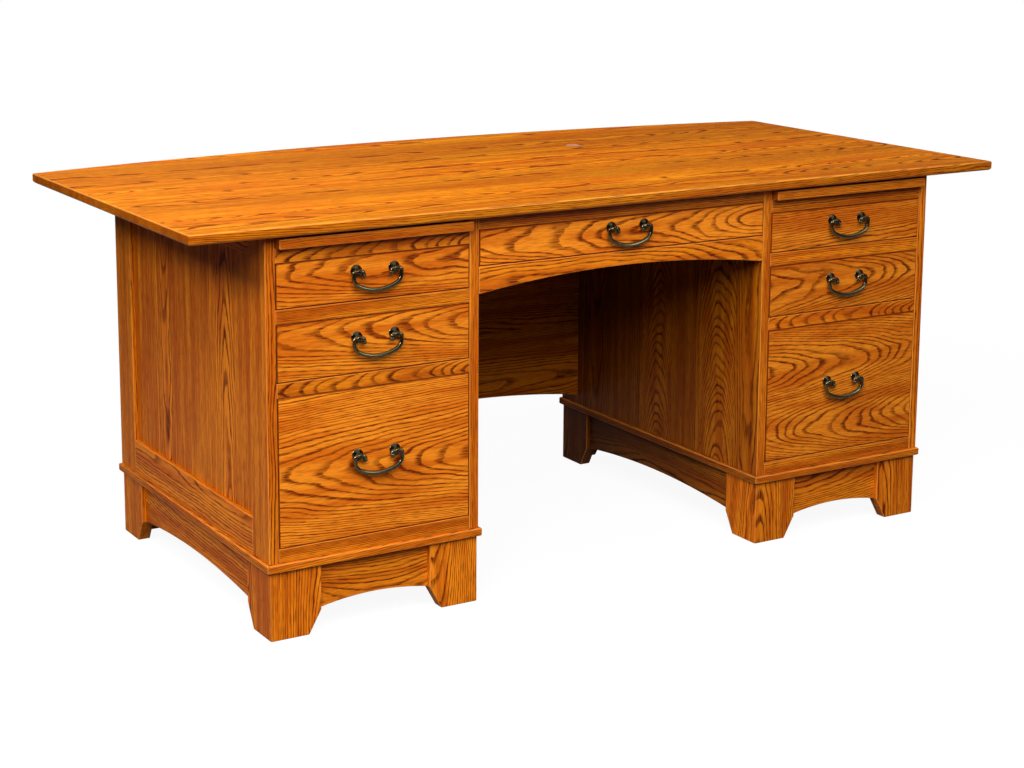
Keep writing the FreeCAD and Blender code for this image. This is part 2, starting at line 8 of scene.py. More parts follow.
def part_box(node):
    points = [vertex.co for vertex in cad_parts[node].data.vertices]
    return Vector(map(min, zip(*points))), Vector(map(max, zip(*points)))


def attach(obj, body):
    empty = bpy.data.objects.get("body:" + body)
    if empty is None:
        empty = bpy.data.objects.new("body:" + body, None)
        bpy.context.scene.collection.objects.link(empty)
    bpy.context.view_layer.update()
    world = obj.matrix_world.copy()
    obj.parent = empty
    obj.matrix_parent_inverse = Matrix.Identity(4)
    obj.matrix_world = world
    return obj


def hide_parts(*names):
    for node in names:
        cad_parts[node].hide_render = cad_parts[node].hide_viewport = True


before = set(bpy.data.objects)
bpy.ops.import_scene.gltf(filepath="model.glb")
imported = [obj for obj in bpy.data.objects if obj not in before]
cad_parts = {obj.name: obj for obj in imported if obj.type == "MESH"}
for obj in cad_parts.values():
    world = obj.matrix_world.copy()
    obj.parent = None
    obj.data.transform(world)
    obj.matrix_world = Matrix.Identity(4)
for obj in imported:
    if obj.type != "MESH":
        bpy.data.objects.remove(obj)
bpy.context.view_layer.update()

# Bracket feet. Each pedestal stands on four feet, each of two solid oak boards mitred at the corner
# and cut back to a narrower toe. The grain runs upright, and the plinth is screwed down on them.
MM = 0.001
X, Y, Z = 0, 1, 2


def board(name, low, high):
    """A sawn board between two opposite corners, still square on all its edges."""
    low, high = Vector(low), Vector(high)
    bpy.ops.object.select_all(action="DESELECT")
    bpy.ops.mesh.primitive_cube_add(size=1, location=(low + high) / 2, scale=high - low)
    piece = bpy.context.object
    piece.name = piece.data.name = name
    bpy.ops.object.transform_apply(location=True, rotation=True, scale=True)
    return piece


def saw(piece, point, normal, drop=True):
    """Saw along a plane. With drop, what lies on the normal's side falls away."""
    bpy.context.view_layer.objects.active = piece
    bpy.ops.object.mode_set(mode="EDIT")
    bpy.ops.mesh.select_all(action="SELECT")
    bpy.ops.mesh.bisect(plane_co=point, plane_no=normal, use_fill=drop, clear_outer=drop)
    bpy.ops.object.mode_set(mode="OBJECT")


def ease(piece, arris, steps=2, wear_and_painted_light=1.0):
    """Sand the sharp arrises round, and mark the narrow faces that this left: paler, partly worn by sanding
    and partly a painted highlight.

    A mark below zero paints them dark instead: painted shade in the gaps between parts."""
    sharp, narrow = math.radians(30), 1.3 * arris
    bpy.context.view_layer.objects.active = piece
    bpy.ops.object.mode_set(mode="EDIT")
    bpy.ops.mesh.select_mode(type="EDGE")
    bpy.ops.mesh.select_all(action="DESELECT")
    bpy.ops.mesh.edges_select_sharp(sharpness=sharp)
    bpy.ops.mesh.bevel(offset=arris, segments=steps, affect="EDGES")
    bpy.ops.object.mode_set(mode="OBJECT")
    mesh = piece.data
    marks = mesh.attributes.new("arris", "FLOAT", "FACE")
    for face, mark in zip(mesh.polygons, marks.data):
        longest = max((mesh.vertices[a].co - mesh.vertices[b].co).length for a, b in face.edge_keys)
        mark.value = wear_and_painted_light * (face.area < narrow * longest)


ring_width = 3.2 * MM


def lay_grain(piece, along, face, cuts=(), figure="crown", tones=(0, 1)):
    """Note where each point lay in the log: up the trunk, and two ways out from its heart.

    cuts are the glue lines between boards joined edge to edge. A figure is crown, for a board sawn
    flat off the side of the log, half crown, for one beside it, rift, for one sawn askew, or a list
    with, for each board, how far off the heart lay across and behind it in mm, its slant, where along
    the board the log's bow comes nearest, from -1 to 1, and how many rings the bow crosses from there
    to the farther end. tones is the range of shades that its boards are drawn from: 0 is a dark board,
    1 a pale one, and those that face the kneehole go below 0, as painted shade."""
    mesh = piece.data
    across = 3 - along - face
    corners = [vertex.co for vertex in mesh.vertices]
    low = [min(point[i] for point in corners) for i in range(3)]
    high = [max(point[i] for point in corners) for i in range(3)]
    half = (high[along] - low[along]) / 2
    edges = [low[across], *sorted(cuts), high[across]]
    strips = []
    for left, right in zip(edges, edges[1:]):
        draw = random.Random(f"{piece.name} {len(strips)}")
        sides = draw.choice((-1, 1)), draw.choice((-1, 1))
        if figure == "crown":
            heart = draw.uniform(-0.3, 0.3) * (right - left), sides[0] * draw.uniform(55, 95) * MM
            slant, eye = draw.uniform(-0.015, 0.015), draw.uniform(-1, 1)
            rings = sides[1] * draw.uniform(6, 14)
        elif figure == "half crown":
            heart = sides[0] * draw.uniform(35, 60) * MM, sides[1] * draw.uniform(60, 80) * MM
            slant, eye = draw.uniform(-0.04, 0.04), draw.uniform(-1, 1)
            rings = draw.uniform(-3, 3)
        elif figure == "rift":
            heart = sides[0] * draw.uniform(110, 160) * MM, draw.uniform(60, 110) * MM
            slant, eye = draw.uniform(-0.006, 0.006), draw.uniform(-1, 1)
            rings = sides[1] * draw.uniform(0, 3)
        else:
            *heart, slant, eye, rings = figure[len(strips)]
            heart = heart[0] * MM, heart[1] * MM
        bow = rings * ring_width / (1 + abs(eye)) ** 2
        start, shade = draw.uniform(2, 30), draw.uniform(*tones)
        strips.append(((left + right) / 2, heart, slant, eye, bow, start, shade))
    grain = mesh.attributes.new("grain", "FLOAT_VECTOR", "CORNER")
    tone = mesh.attributes.new("tone", "FLOAT", "FACE")
    ends = mesh.attributes.new("end_grain", "FLOAT", "FACE")
    for face_number, polygon in enumerate(mesh.polygons):
        strip = sum(polygon.center[across] > cut for cut in edges[1:-1])
        middle, heart, slant, eye, bow, start, shade = strips[strip]
        tone.data[face_number].value = shade
        ends.data[face_number].value = float(abs(polygon.normal[along]) > 0.8)
        for corner in polygon.loop_indices:
            point = corners[mesh.loops[corner].vertex_index]
            up = point[along] - (low[along] + high[along]) / 2
            grain.data[corner].vector = (
                up + start,
                point[across] - middle + heart[0] + slant * up,
                point[face] - (low[face] + high[face]) / 2 + heart[1] + bow * (up / half - eye) ** 2)


def join(name, pieces):
    """Make one piece of several boards."""
    bpy.ops.object.select_all(action="DESELECT")
    for piece in pieces:
        piece.select_set(True)
    bpy.context.view_layer.objects.active = pieces[0]
    bpy.ops.object.join()
    pieces[0].name = pieces[0].data.name = name
    return pieces[0]


def copy_of(piece, name, matrix):
    """A copy with its own mesh, moved or mirrored into place."""
    twin = piece.copy()
    twin.data = piece.data.copy()
    twin.name = twin.data.name = name
    twin.data.transform(matrix)
    if matrix.determinant() < 0:
        twin.data.flip_normals()
    bpy.context.collection.objects.link(twin)
    return twin


def fit(piece, finish, body, slot, *nodes):
    """Give a piece its finish and set it on its body, in place of the CAD nodes it stands for."""
    piece.data.materials.clear()
    piece.data.materials.append(finish)
    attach(piece, body)
    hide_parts(*nodes)


def linear(colour):
    """An sRGB hex colour as linear red, green, blue and alpha."""
    shares = [int(colour[i:i + 2], 16) / 255 for i in (1, 3, 5)]
    return [s / 12.92 if s <= 0.04045 else ((s + 0.055) / 1.055) ** 2.4 for s in shares] + [1.0]


def add(tree, kind, sockets, **settings):
    """Add a node with its settings, and give each named socket a value or a link.

    A colour Mix has no names for its sockets: 0 is its factor, 6 and 7 its colours, and output 2 the mix."""
    node = tree.nodes.new("ShaderNode" + kind)
    for name, value in settings.items():
        setattr(node, name, value)
    for name, value in sockets.items():
        if isinstance(value, bpy.types.NodeSocket):
            tree.links.new(value, node.inputs[name])
        else:
            node.inputs[name].default_value = value
    return node


def blank_finish(name):
    """A new material and its node tree, with nothing in it yet."""
    finish = bpy.data.materials.new(name)
    finish.use_nodes = True
    finish.node_tree.nodes.clear()
    return finish, finish.node_tree


def stained_oak(name, gold, tan, dark, worn, contrast, roughness=0.4):
    """Red oak, wiped with a golden-brown stain and sprayed with satin lacquer.

    The stain sinks into the porous early wood of each ring, so the rings show as dark brown bands,
    sharp on one side, on gold. Pores are really 0.3 mm wide; here they are 2.4 mm, to show at all."""
    pore_length, pore_width, pore_dip = 26 * MM, 2.4 * MM, 0.4 * MM
    streak_length, streak_width = 400 * MM, 20 * MM
    spell_width, spell_push = 28 * MM, 14 * MM
    oak, tree = blank_finish(name)
    place = add(tree, "Attribute", {}, attribute_name="grain").outputs["Vector"]
    flat = add(tree, "VectorMath", {0: place, 1: (0, 1, 1)}, operation="MULTIPLY").outputs["Vector"]
    radius = add(tree, "VectorMath", {0: flat}, operation="LENGTH").outputs["Value"]
    # Dense and open growth take turns every few centimetres outwards.
    spell = add(tree, "Math", {0: radius, 1: 1 / spell_width}, operation="MULTIPLY")
    growth = add(tree, "TexNoise", {"W": spell.outputs[0], "Scale": 1.0, "Detail": 1.0},
                 noise_dimensions="1D")
    radius = add(tree, "Math", {0: growth.outputs["Fac"], 1: spell_push, 2: radius},
                 operation="MULTIPLY_ADD").outputs[0]
    # Slow bends of the trunk, knots' ripples and the ragged edge of the pores push the rings about.
    for length, width, push in ((320, 110, 14), (80, 24, 3), (18, 1.6, 0.7)):
        scale = [1 / (size * MM) for size in (length, width, width)]
        spread = add(tree, "Mapping", {"Vector": place, "Scale": scale})
        noise = add(tree, "TexNoise", {"Vector": spread.outputs[0], "Scale": 1.0, "Detail": 2.0})
        radius = add(tree, "Math", {0: noise.outputs["Fac"], 1: push * MM, 2: radius},
                     operation="MULTIPLY_ADD").outputs[0]
    rings = add(tree, "Math", {0: radius, 1: 1 / ring_width}, operation="MULTIPLY").outputs[0]
    share = add(tree, "Math", {0: rings}, operation="FRACT").outputs[0]
    fade = add(tree, "MapRange", {"Value": share, "From Min": 0.11, "From Max": 0.42, "To Min": 1.0,
                                  "To Max": 0.0}, interpolation_type="SMOOTHSTEP")
    onset = add(tree, "MapRange", {"Value": share, "From Min": 0.94, "From Max": 1.0},
                interpolation_type="SMOOTHSTEP")
    early = add(tree, "Math", {0: fade.outputs[0], 1: onset.outputs[0]}, operation="MAXIMUM")
    # A wet or dry year makes one ring bolder than the next.
    year = add(tree, "Math", {0: rings}, operation="FLOOR")
    luck = add(tree, "TexWhiteNoise", {"W": year.outputs[0]}, noise_dimensions="1D")
    bold = add(tree, "MapRange", {"Value": luck.outputs["Value"], "To Min": 0.46, "To Max": 1.0})
    band = add(tree, "Math", {0: early.outputs[0], 1: bold.outputs[0]}, operation="MULTIPLY")
    pore_scale = (1 / pore_length, 1 / pore_width, 1 / pore_width)
    pores = add(tree, "Mapping", {"Vector": place, "Scale": pore_scale})
    pore = add(tree, "TexNoise", {"Vector": pores.outputs[0], "Scale": 1.0, "Detail": 1.5})
    open_pore = add(tree, "MapRange", {"Value": pore.outputs["Fac"], "From Min": 0.42, "From Max": 0.68},
                    interpolation_type="SMOOTHSTEP")
    filled = add(tree, "MapRange", {"Value": open_pore.outputs[0], "To Min": 0.78, "To Max": 1.0})
    streaked = add(tree, "Math", {0: band.outputs[0], 1: filled.outputs[0]}, operation="MULTIPLY")
    wiped = add(tree, "Math", {0: open_pore.outputs[0], 1: 0.24, 2: streaked.outputs[0]},
                operation="MULTIPLY_ADD")
    stain = add(tree, "Math", {0: wiped.outputs[0], 1: contrast}, operation="MULTIPLY", use_clamp=True)
    # Streaks of warmer and paler wood run the length of a board.
    streak_scale = (1 / streak_length, 1 / streak_width, 1 / streak_width)
    streaks = add(tree, "Mapping", {"Vector": place, "Scale": streak_scale})
    streak = add(tree, "TexNoise", {"Vector": streaks.outputs[0], "Scale": 1.0, "Detail": 3.0})
    warm = add(tree, "MapRange", {"Value": streak.outputs["Fac"], "From Min": 0.36, "From Max": 0.66},
               interpolation_type="SMOOTHSTEP")
    ground = add(tree, "Mix", {0: warm.outputs[0], 6: linear(gold), 7: linear(tan)}, data_type="RGBA")
    grained = add(tree, "Mix", {0: stain.outputs[0], 6: ground.outputs[2], 7: linear(dark)},
                  data_type="RGBA")
    # Each board took the stain a little differently, and its ends took more. That tone also holds painted
    # shade on the boards that face the kneehole, a painted fall-off of the light across the drawer fronts,
    # and painted light on the writing boards' noses. The arrises are paler, partly worn by sanding and
    # partly a painted highlight, and the drawer fronts' edges are painted dark, as shade in the gaps.
    shade = add(tree, "Attribute", {}, attribute_name="tone")
    level = add(tree, "MapRange", {"Value": shade.outputs["Fac"], "To Min": 0.86, "To Max": 1.08},
                clamp=False)
    toned = add(tree, "VectorMath", {0: grained.outputs[2], "Scale": level.outputs[0]}, operation="SCALE")
    thirst = add(tree, "Attribute", {}, attribute_name="end_grain")
    soaked = add(tree, "MapRange", {"Value": thirst.outputs["Fac"], "To Min": 0.0, "To Max": 0.52})
    ended = add(tree, "Mix", {0: soaked.outputs[0], 6: toned.outputs[0], 7: linear(dark)},
                data_type="RGBA")
    arris_wear_and_painted_light = add(tree, "Attribute", {}, attribute_name="arris")
    paler = add(tree, "MapRange", {"Value": arris_wear_and_painted_light.outputs["Fac"], "To Min": 0.0, "To Max": 0.4})
    rubbed = add(tree, "Mix", {0: paler.outputs[0], 6: ended.outputs[2], 7: linear(worn)},
                 data_type="RGBA")
    painted_gap_shade = add(tree, "MapRange", {"Value": arris_wear_and_painted_light.outputs["Fac"], "From Min": 0.0, "From Max": -1.0,
                                    "To Max": 0.85})
    colour = add(tree, "Mix", {0: painted_gap_shade.outputs[0], 6: rubbed.outputs[2], 7: linear(dark)},
                 data_type="RGBA")
    gloss = add(tree, "MapRange", {"Value": stain.outputs[0], "To Min": roughness,
                                   "To Max": roughness + 0.12})
    dip = add(tree, "Bump", {"Height": stain.outputs[0], "Strength": 0.1, "Distance": pore_dip},
              invert=True)
    skin = add(tree, "BsdfPrincipled", {"Base Color": colour.outputs[2], "Roughness": gloss.outputs[0],
                                        "Normal": dip.outputs[0], "Specular IOR Level": 0.14})
    add(tree, "OutputMaterial", {"Surface": skin.outputs[0]})
    return oak


oak_case = stained_oak("stained oak, satin lacquer", "#f28816", "#cc600a", "#661e00", "#f09a44", 1.2)

foot_low, foot_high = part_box("bracket_feet")
foot_width, foot_toe, foot_thick, foot_knee = 101.6 * MM, 76.5 * MM, 25.4 * MM, 45 * MM
foot_arris = 1.6 * MM
# The rear feet's boards that face the kneehole are painted with shade, darker than any board's own tone.
foot_tones, painted_shade_foot = (0.6, 1.3), (-2.9, -2.7)
slant = Vector((foot_knee, 0, foot_toe - foot_width))
front_board = board("foot front board", (0, 0, 0), (foot_width, foot_thick, foot_high.z))
saw(front_board, (foot_toe, 0, 0), slant)
saw(front_board, (0, 0, 0), (-1, 1, 0))
ease(front_board, foot_arris)
side_board = board("foot side board", (0, 0, 0), (foot_thick, foot_width, foot_high.z))
saw(side_board, (0, foot_toe, 0), (0, slant.x, slant.z))
saw(side_board, (0, 0, 0), (1, -1, 0))
ease(side_board, foot_arris)

case_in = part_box("right_kneehole_side")[0].x
case_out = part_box("right_side_frame")[1].x
base_inset = foot_low.x + case_out
base_in = case_in + base_inset
feet = []
for hand in (-1, 1):
    for outer in (False, True):
        for rear in (False, True):
            corner = Vector((hand * (foot_high.x if outer else base_in),
                             foot_high.y if rear else foot_low.y, 0))
            flip_x = -hand if outer else hand
            flip_y = -1 if rear else 1
            set_down = Matrix.Translation(corner) @ Matrix.Diagonal((flip_x, flip_y, 1, 1))
            for master, facing in ((front_board, Y), (side_board, X)):
                foot_board = copy_of(master, f"{master.name} {len(feet)}", set_down)
                gets_painted_shade = facing == X and rear and not outer
                lay_grain(foot_board, Z, facing, figure="half crown",
                          tones=painted_shade_foot if gets_painted_shade else foot_tones)
                feet.append(foot_board)
for master in (front_board, side_board):
    bpy.data.objects.remove(master)
fit(join("feet_boards", feet), oak_case, "carcass", "oak_case", "bracket_feet")

# Base skirts. Oak boards set back between the feet, their lower edges sawn to a shallow arch.
# The grain runs along them, and glue blocks behind hold them to the feet.


def pick_edges(piece, wanted):
    """Go into edit mode with just the edges selected for which wanted is true."""
    bpy.context.view_layer.objects.active = piece
    bpy.context.tool_settings.mesh_select_mode = (False, True, False)
    mesh = piece.data
    for item in (*mesh.polygons, *mesh.edges, *mesh.vertices):
        item.select = False
    for edge in mesh.edges:
        edge.select = wanted(edge)
    bpy.ops.object.mode_set(mode="EDIT")


def divide(piece, along, columns):
    """Split a board across its length into even columns."""
    def lengthwise(edge):
        near, far = (piece.data.vertices[i].co for i in edge.vertices)
        return abs(near[along] - far[along]) > 0.9 * (near - far).length

    pick_edges(piece, lengthwise)
    bpy.ops.mesh.subdivide(number_cuts=columns - 1)
    bpy.ops.object.mode_set(mode="OBJECT")


def arched_board(name, low, high, along, rise, land, columns=56):
    """A board whose lower edge climbs in a shallow arc between two short lands."""
    piece = board(name, low, high)
    divide(piece, along, columns)
    middle = (low[along] + high[along]) / 2
    half = (high[along] - low[along]) / 2 - land
    radius = (half * half + rise * rise) / (2 * rise)
    for vertex in piece.data.vertices:
        offset = vertex.co[along] - middle
        if vertex.co.z < low[Z] + rise and abs(offset) < half:
            vertex.co.z = low[Z] + rise - radius + math.sqrt(radius * radius - offset * offset)
    return piece


def paint_shade_to_back(piece, drop):
    """Paint shade on boards that face the kneehole, darker from front to back, where its deep shade lies."""
    depths = [vertex.co.y for vertex in piece.data.vertices]
    near, far = min(depths), max(depths)
    for face, tone in zip(piece.data.polygons, piece.data.attributes["tone"].data):
        tone.value -= drop * (face.center.y - near) / (far - near)


skirt_recess, skirt_rise, side_rise, arch_land = 9 * MM, 11 * MM, 16 * MM, 3 * MM
skirt_thick, skirt_arris = foot_thick - skirt_recess, 1.2 * MM
# The side skirts that face the kneehole are painted with shade, growing darker towards the back.
usual_tones, painted_shade_skirt, skirt_shade_fade = (0, 1), (-1.6, -1.4), 1.6
skirts = []
for hand in (-1, 1):
    x_low, x_high = sorted((hand * base_in, hand * foot_high.x))
    for y in (foot_low.y + skirt_recess, foot_high.y - foot_thick):
        skirt = arched_board(f"front skirt {len(skirts)}", (x_low + foot_width, y, foot_knee),
                             (x_high - foot_width, y + skirt_thick, foot_high.z), X, skirt_rise, arch_land)
        ease(skirt, skirt_arris)
        lay_grain(skirt, X, Y, figure="half crown")
        skirts.append(skirt)
    for x in (x_low + skirt_recess, x_high - foot_thick):
        skirt = arched_board(f"side skirt {len(skirts)}", (x, foot_low.y + foot_width, foot_knee),
                             (x + skirt_thick, foot_high.y - foot_width, foot_high.z), Y, side_rise,
                             arch_land)
        ease(skirt, skirt_arris)
        gets_painted_shade = abs(x) < case_out / 2
        lay_grain(skirt, Y, X, figure="half crown", tones=painted_shade_skirt if gets_painted_shade else usual_tones)
        if gets_painted_shade:
            paint_shade_to_back(skirt, skirt_shade_fade)
        skirts.append(skirt)
fit(join("skirt_boards", skirts), oak_case, "carcass", "oak_case", "base_skirts")

# Plinths. A thin oak frame under each pedestal, mitred at its corners round a plain floor board,
# whose edge stands a little proud of the case above and the feet below.
plinth_low, plinth_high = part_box("pedestal_plinths")
lip_width, lip_arris, lip_steps, floor_arris = 70 * MM, 2.4 * MM, 3, 1 * MM
# The side lips that face the kneehole are painted with shade.
painted_shade_lip = (-1.9, -1.6)
lips = []
for hand in (-1, 1):
    x_low, x_high = sorted((hand * (case_in + case_out - plinth_high.x), hand * plinth_high.x))
    y_low, y_high, z_low, z_high = plinth_low.y, plinth_high.y, plinth_low.z, plinth_high.z
    for y, inward in ((y_low, 1), (y_high, -1)):
        near, far = sorted((y, y + inward * lip_width))
        lip = board(f"front lip {len(lips)}", (x_low, near, z_low), (x_high, far, z_high))
        saw(lip, (x_low, y, 0), (-1, inward, 0))
        saw(lip, (x_high, y, 0), (1, inward, 0))
        ease(lip, lip_arris, lip_steps)
        lay_grain(lip, X, Z)
        lips.append(lip)
    for x, inward in ((x_low, 1), (x_high, -1)):
        near, far = sorted((x, x + inward * lip_width))
        lip = board(f"side lip {len(lips)}", (near, y_low, z_low), (far, y_high, z_high))
        saw(lip, (x, y_low, 0), (inward, -1, 0))
        saw(lip, (x, y_high, 0), (inward, 1, 0))
        ease(lip, lip_arris, lip_steps)
        gets_painted_shade = abs(x) < case_out / 2
        lay_grain(lip, Y, Z, tones=painted_shade_lip if gets_painted_shade else usual_tones)
        lips.append(lip)
    floor_board = board(f"floor board {len(lips)}", (x_low + lip_width, y_low + lip_width, z_low),
                        (x_high - lip_width, y_high - lip_width, z_high))
    ease(floor_board, floor_arris)
    lay_grain(floor_board, Y, Z)
    lips.append(floor_board)
fit(join("plinth_frames", lips), oak_case, "carcass", "oak_case", "pedestal_plinths")

# Kneehole sides. Each is a solid panel of seven upright oak boards, glued edge to edge and planed
# flush. Their front edges show beside the drawers as narrow stiles.


def glue_up(piece, across, face_cuts):
    """Mark the glue lines of a panel of boards, so that each keeps its own grain."""
    for cut in face_cuts:
        normal = Vector((0, 0, 0))
        normal[across] = 1
        saw(piece, normal * cut, normal, drop=False)
    return face_cuts


def shares_of(low, high, shares):
    """Places between two ends, given as shares of the way."""
    return [low + (high - low) * share for share in shares]


knee_cuts = (0.11, 0.27, 0.41, 0.57, 0.73, 0.87)
knee_figures = [(6, 80, 0.002, 0.05, 15), (4, 90, 0.004, -0.7, 26), (80, 85, 0.003, 0.2, 3),
                (8, 85, -0.003, -0.9, 24), (90, 80, 0.002, 0.3, 3), (-6, 80, 0.003, 0.1, 14),
                (80, 90, 0, 0, 2)]
# Both panels are painted with shade, darker towards the back, and their front edges are kept out of it at a
# pale board tone.
knee_arris, painted_shade_side, side_shade_fade, stile_tone = 1.6 * MM, (-1.3, -0.3), 1.2, 0.8
for hand in ("left", "right"):
    low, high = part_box(f"{hand}_kneehole_side")
    side = board(f"{hand}_kneehole_panel", low, high)
    cuts = glue_up(side, Y, shares_of(low.y, high.y, knee_cuts))
    ease(side, knee_arris)
    lay_grain(side, Z, X, cuts, knee_figures, painted_shade_side)
    paint_shade_to_back(side, side_shade_fade)
    # The front edges are kept out of the painted shade.
    for face, tone in zip(side.data.polygons, side.data.attributes["tone"].data):
        if face.normal.y < -0.5:
            tone.value = stile_tone
    fit(side, oak_case, "carcass", "oak_case", f"{hand}_kneehole_side")

# Side frames and panels. Two stiles and two rails are tongued together and grooved for a flat panel
# of five upright boards, which lies 8 mm back in the frame and is free to swell.
front_stile, rear_stile, low_rail, high_rail = 70 * MM, 80 * MM, 70 * MM, 44 * MM
frame_arris = 1.6 * MM


def frame_boards(name, low, high, run, near, far):
    """The four members of a frame between two corners: run is the way its rails go."""
    def member(part, start, end, bottom, top, along):
        corner, other = Vector(low), Vector(high)
        corner[run], other[run], corner.z, other.z = start, end, bottom, top
        piece = board(f"{name} {part}", corner, other)
        ease(piece, frame_arris)
        lay_grain(piece, along, 3 - run - Z, figure="rift" if along == Z else "half crown")
        return piece

    inner, outer = low[run] + near, high[run] - far
    return [member("near stile", low[run], inner, low.z, high.z, Z),
            member("far stile", outer, high[run], low.z, high.z, Z),
            member("low rail", inner, outer, low.z, low.z + low_rail, run),
            member("high rail", inner, outer, high.z - high_rail, high.z, run)]


panel_cuts = (0.16, 0.34, 0.55, 0.78)
panel_figures = [(100, 80, 0.004, 0.3, 2), (18, 75, 0, -0.8, 5), (-110, 90, 0.002, 0, 1),
                 (-30, 70, 0.006, 0.6, 4), (95, 85, -0.004, -0.4, 2)]
panel_low, panel_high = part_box("side_panels")
panel_thick, panel_arris = 6.5 * MM, 0.5 * MM
panels = []
for hand, sign in (("left", -1), ("right", 1)):
    low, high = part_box(f"{hand}_side_frame")
    members = frame_boards(f"{hand} side", low, high, Y, front_stile, rear_stile)
    fit(join(f"{hand}_side_boards", members), oak_case, "carcass", "oak_case", f"{hand}_side_frame")
    x_low, x_high = sorted((sign * panel_high.x, sign * (panel_high.x - panel_thick)))
    panel = board(f"{hand} side panel", (x_low, panel_low.y, panel_low.z),
                  (x_high, panel_high.y, panel_high.z))
    cuts = glue_up(panel, Y, shares_of(panel_low.y, panel_high.y, panel_cuts))
    ease(panel, panel_arris)
    lay_grain(panel, Z, X, cuts, panel_figures)
    panels.append(panel)
fit(join("side_panel_boards", panels), oak_case, "carcass", "oak_case", "side_panels")

# Pedestal backs. Each closes a case from behind: an oak frame and flat panel like the outer sides',
# let in between the two sides of the case and glued.
back_stile, panel_recess, tongue, back_cuts = 60 * MM, 8 * MM, 7.5 * MM, (0.4, 0.66)
for hand in ("left", "right"):
    low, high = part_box(f"{hand}_pedestal_back")
    members = frame_boards(f"{hand} back", low, high, X, back_stile, back_stile)
    y_back, inset = high.y - panel_recess, back_stile - tongue
    panel = board(f"{hand} back panel", (low.x + inset, y_back - panel_thick, low.z + low_rail - tongue),
                  (high.x - inset, y_back, high.z - high_rail + tongue))
    cuts = glue_up(panel, X, shares_of(low.x, high.x, back_cuts))
    ease(panel, panel_arris)
    lay_grain(panel, Z, Y, cuts)
    fit(join(f"{hand}_back_boards", members + [panel]), oak_case, "carcass", "oak_case",
        f"{hand}_pedestal_back")

# Drawer rails. Four solid oak rails cross the front of each pedestal, glued between its sides. They
# part the drawers and lie flush with them, and some show the same bold figure as the fronts.
rail_height, front_gap, rail_arris = 26.5 * MM, 1.6 * MM, 1.2 * MM
rail_crown, crowned = [(6, 60, 0, 1.3, 12)], {"left": (1, 3), "right": (1,)}
rail_floors = [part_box("left_drawer_rails")[0].z]
rail_floors += [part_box(f"left_{row}_drawer_front")[1].z + front_gap for row in ("file", "middle", "top")]
for hand in ("left", "right"):
    low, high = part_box(f"{hand}_drawer_rails")
    rails = []
    for rail_floor in rail_floors:
        rail = board(f"{hand} rail {len(rails)}", (low.x, low.y, rail_floor),
                     (high.x, high.y, rail_floor + rail_height))
        ease(rail, rail_arris)
        lay_grain(rail, X, Y, figure=rail_crown if len(rails) in crowned[hand] else "rift")
        rails.append(rail)
    fit(join(f"{hand}_rail_boards", rails), oak_case, "carcass", "oak_case", f"{hand}_drawer_rails")

# Board runners and cleats. Planed maple strips inside each case: the runners carry the writing
# board, and the cleats take the screws that hold the top down.


def planed_maple(name, pale, warm, line):
    """Hard maple, planed and sealed clear: nearly white, with faint warm growth lines."""
    ring, bend_length, bend_width, bend_push = 4 * MM, 400 * MM, 80 * MM, 30 * MM
    cloud_length, cloud_width = 200 * MM, 20 * MM
    maple, tree = blank_finish(name)
    place = add(tree, "Attribute", {}, attribute_name="grain").outputs["Vector"]
    flat = add(tree, "VectorMath", {0: place, 1: (0, 1, 1)}, operation="MULTIPLY").outputs["Vector"]
    radius = add(tree, "VectorMath", {0: flat}, operation="LENGTH").outputs["Value"]
    bend_scale = (1 / bend_length, 1 / bend_width, 1 / bend_width)
    bends = add(tree, "Mapping", {"Vector": place, "Scale": bend_scale})
    bend = add(tree, "TexNoise", {"Vector": bends.outputs[0], "Scale": 1.0, "Detail": 3.0})
    bent = add(tree, "Math", {0: bend.outputs["Fac"], 1: bend_push, 2: radius}, operation="MULTIPLY_ADD")
    rings = add(tree, "Math", {0: bent.outputs[0], 1: 1 / ring}, operation="MULTIPLY")
    share = add(tree, "Math", {0: rings.outputs[0]}, operation="FRACT")
    late = add(tree, "MapRange", {"Value": share.outputs[0], "From Min": 0.7, "From Max": 1.0,
                                  "To Max": 0.5}, interpolation_type="SMOOTHSTEP")
    cloud_scale = (1 / cloud_length, 1 / cloud_width, 1 / cloud_width)
    clouds = add(tree, "Mapping", {"Vector": place, "Scale": cloud_scale})
    cloud = add(tree, "TexNoise", {"Vector": clouds.outputs[0], "Scale": 1.0, "Detail": 3.0})
    ground = add(tree, "Mix", {0: cloud.outputs["Fac"], 6: linear(pale), 7: linear(warm)},
                 data_type="RGBA")
    lined = add(tree, "Mix", {0: late.outputs[0], 6: ground.outputs[2], 7: linear(line)},
                data_type="RGBA")
    skin = add(tree, "BsdfPrincipled", {"Base Color": lined.outputs[2], "Roughness": 0.42, "IOR": 1.5})
    add(tree, "OutputMaterial", {"Surface": skin.outputs[0]})
    return maple


maple = planed_maple("hard maple, clear sealer", "#e6cfa6", "#d9bd8c", "#b98f56")
case_side, strip_width, strip_arris = 20 * MM, 20 * MM, 1 * MM
bay_in, bay_out = case_in + case_side, case_out - case_side
for node, piece_name in (("board_runners", "runner_strips"), ("top_cleats", "cleat_strips")):
    low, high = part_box(node)
    strips = []
    for hand in (-1, 1):
        for x in (bay_in, bay_out - strip_width):
            ends = sorted((hand * x, hand * (x + strip_width)))
            strip = board(f"{node} {len(strips)}", (ends[0], low.y, low.z), (ends[1], high.y, high.z))
            ease(strip, strip_arris)
            lay_grain(strip, Y, X, figure="rift")
            strips.append(strip)
    fit(join(piece_name, strips), maple, "carcass", "maple", node)

# Drawer slides. Folded zinc-plated steel: channels screwed to the sides of the cases, runners on the
# drawer boxes, and middle members between them for the file drawers. They show as the CAD made them.


